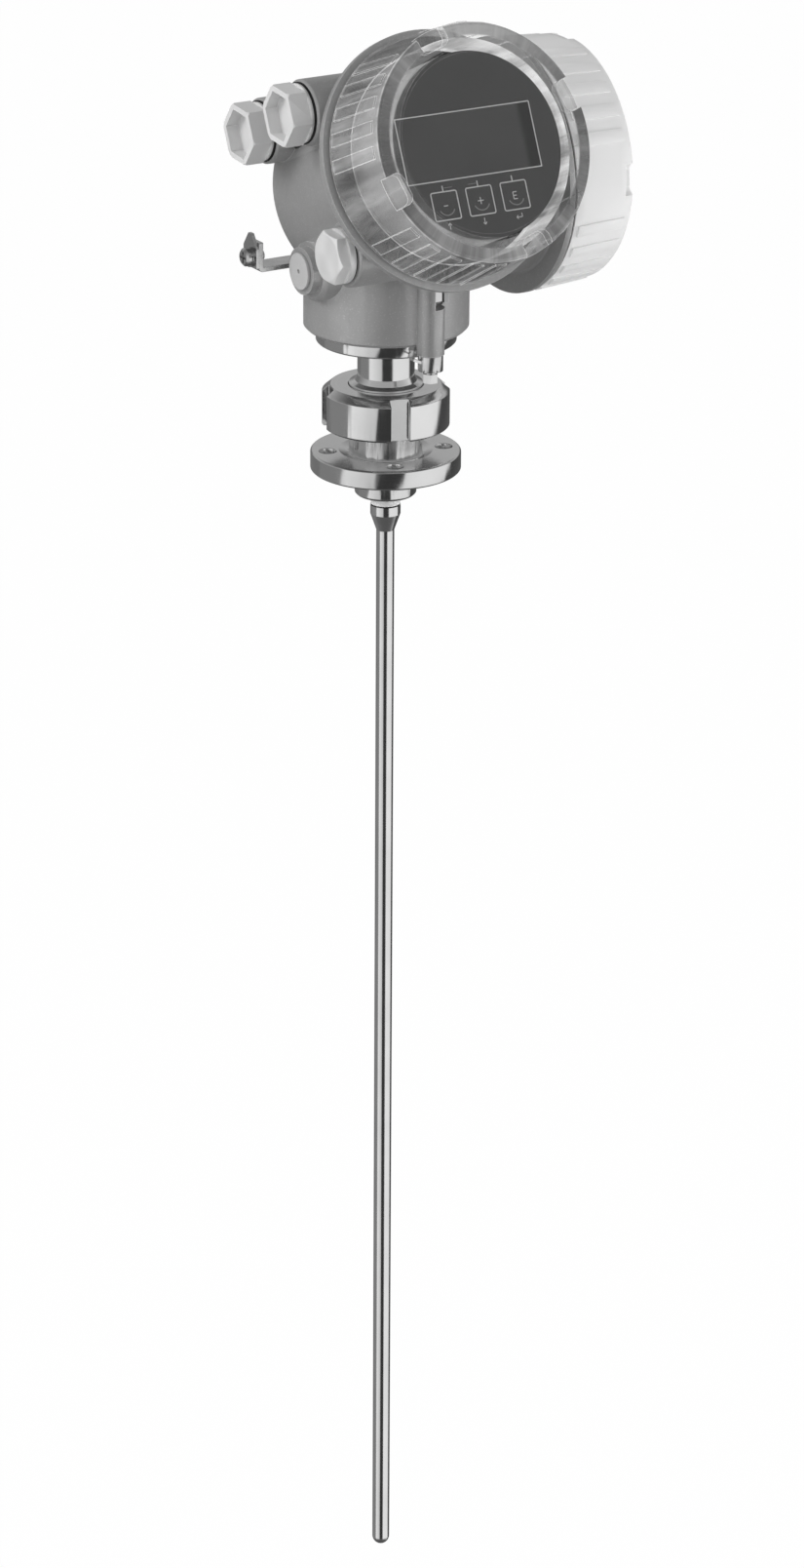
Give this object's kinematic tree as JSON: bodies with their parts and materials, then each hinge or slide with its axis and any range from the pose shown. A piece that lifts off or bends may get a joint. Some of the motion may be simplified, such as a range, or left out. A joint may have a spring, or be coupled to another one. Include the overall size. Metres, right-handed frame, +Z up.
{
  "type": "guided wave radar level transmitter",
  "caption": "Rod-probe level transmitter: bolted process flange, union nut, cast head with clear display cover and side wiring cover.",
  "frame": {"origin": "centre of the process flange's lower face, on the probe's axis", "axes": "+Z up along the probe's axis to the head, -Y the side that the display looks to, +X the wiring cover's side"},
  "size_m": [0.1774, 0.179, 0.8591],
  "materials": {
    "cast_grey": "grey powder coat, fine texture",
    "steel": "polished stainless steel",
    "clear": "clear polycarbonate",
    "white_cover": "white moulded plastic, satin",
    "plug_grey": "light grey moulded plastic",
    "seal_black": "black rubber",
    "seal_white": "white seal",
    "peek": "white insulator plastic",
    "glass_seal": "sealing glass",
    "foil": "charcoal printed foil",
    "lcd": "dark liquid-crystal glass",
    "carrier": "grey moulded plastic",
    "board": "circuit board",
    "potting": "dark encapsulated module",
    "terminal": "terminal plastic",
    "cable": "cable sheath",
    "bright_metal": "nickel-plated metal"
  },
  "bodies": {
    "probe": {"process_flange": "steel", "coupling_seal": "seal_white", "neck_tube": "steel", "adapter_ring": "steel", "retaining_ring": "steel", "probe_insulator": "peek", "probe_seal": "seal_black", "probe_rod": "steel", "glass_feedthrough": "glass_seal"},
    "nut": {"union_nut": "steel"},
    "head": {"housing": "cast_grey", "signal_lead": "cable", "display_cover_seal": "seal_black", "terminal_cover_seal": "seal_black", "display_panel": "foil", "lcd_module": "lcd", "display_carrier": "carrier", "display_board": "board", "electronics_module": "potting", "terminal_plate": "carrier", "terminal_block": "terminal", "terminal_screws": "bright_metal", "plug_gasket_front": "seal_black", "plug_gasket_rear": "seal_black", "vent_plug": "white_cover", "screw_plug": "bright_metal", "screw_plug_seal": "seal_black", "ground_strap": "steel"},
    "display_cover": {"display_cover": "clear"},
    "terminal_cover": {"terminal_cover": "white_cover"},
    "front_plug": {"blanking_plug_front": "plug_grey"},
    "rear_plug": {"blanking_plug_rear": "plug_grey"},
    "cover_lock": {"lock_clamp": "bright_metal", "lock_screw": "bright_metal"},
    "ground_clamp": {"ground_clamp": "steel", "ground_washer": "steel", "ground_screw": "bright_metal"}
  },
  "joints": [
    {"name": "head_swivel", "type": "hinge", "parent": "probe", "child": "head", "pos_m": [0, 0, 0.0745], "axis": [0, 0, 1], "range_deg": [-175, 175]},
    {"name": "nut_turn", "type": "hinge", "parent": "probe", "child": "nut", "pos_m": [0, 0, 0.0336], "axis": [0, 0, 1], "range_deg": [0, 1080]},
    {"name": "display_cover_off", "type": "slide", "parent": "head", "child": "display_cover", "axis": [0, -0.9114, 0.4115], "range_m": [0, 0.06]},
    {"name": "terminal_cover_off", "type": "slide", "parent": "head", "child": "terminal_cover", "axis": [1, 0, 0], "range_m": [0, 0.05]},
    {"name": "front_plug_out", "type": "slide", "parent": "head", "child": "front_plug", "axis": [-1, 0, 0], "range_m": [0, 0.016]},
    {"name": "rear_plug_out", "type": "slide", "parent": "head", "child": "rear_plug", "axis": [-1, 0, 0], "range_m": [0, 0.016]},
    {"name": "cover_lock_turn", "type": "hinge", "parent": "head", "child": "cover_lock", "pos_m": [0, -0.0426, 0.09], "axis": [0, 0, 1], "range_deg": [0, 90]},
    {"name": "ground_clamp_open", "type": "slide", "parent": "head", "child": "ground_clamp", "axis": [-1, 0, 0], "range_m": [0, 0.0025]}
  ]
}
